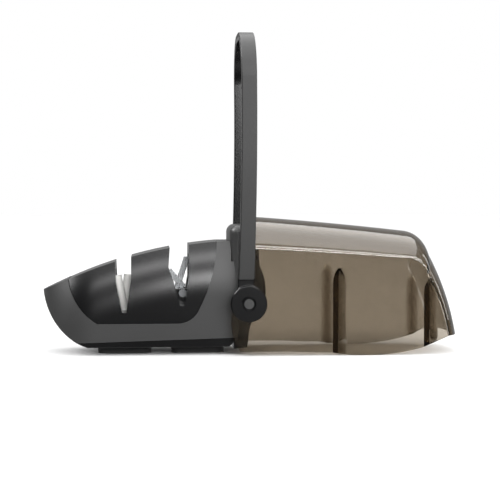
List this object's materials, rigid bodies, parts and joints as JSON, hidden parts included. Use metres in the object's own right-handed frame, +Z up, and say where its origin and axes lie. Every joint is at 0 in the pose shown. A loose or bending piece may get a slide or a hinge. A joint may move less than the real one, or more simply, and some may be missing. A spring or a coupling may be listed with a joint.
{
  "type": "pull-through knife sharpener",
  "caption": "Pull-through knife sharpener with a fine ceramic and a coarse blade slot, a folding carry loop and a smoke-tinted cover that swings round the base.",
  "frame": {"origin": "centre of the object's box, on the surface that it stands on, open with the loop upright", "axes": "+X from the base's nose towards the cover, +Z up, Y across along the hinge pin"},
  "size_m": [0.2046, 0.058, 0.1575],
  "materials": {
    "grey_abs": "satin",
    "black_abs": "satin",
    "smoke_clear": "gloss",
    "ceramic": "matt",
    "carbide": "ground",
    "steel": "satin",
    "nylon": "matt",
    "rubber": "matt"
  },
  "bodies": {
    "base": {"base_housing": "grey_abs", "sharpening_head": "black_abs", "fine_stage_holder": "black_abs", "coarse_stage_holder": "black_abs", "ceramic_rod_front": "ceramic", "ceramic_rod_rear": "ceramic", "carbide_blade_front": "carbide", "carbide_blade_rear": "carbide", "blade_cross_pin": "steel", "sole_plate": "black_abs", "front_pad": "rubber", "rear_pad": "rubber", "sole_screws": "steel", "hinge_frame": "black_abs", "hinge_pin": "steel", "hinge_washer_near": "nylon", "hinge_washer_far": "nylon", "pin_cap_near": "grey_abs", "pin_cap_far": "grey_abs"},
    "cover": {"cover_shell": "smoke_clear", "cover_bush_near": "nylon", "cover_bush_far": "nylon"},
    "handle": {"handle_trim": "grey_abs", "handle_frame": "black_abs"}
  },
  "joints": [
    {"name": "handle_hinge", "type": "hinge", "parent": "base", "child": "handle", "pos_m": [-0.00265, 0, 0.0255], "axis": [0, 1, 0], "range_deg": [-90, 90]},
    {"name": "cover_hinge", "type": "hinge", "parent": "base", "child": "cover", "pos_m": [-0.00265, 0, 0.0255], "axis": [0, 1, 0], "range_deg": [0, 180]}
  ]
}
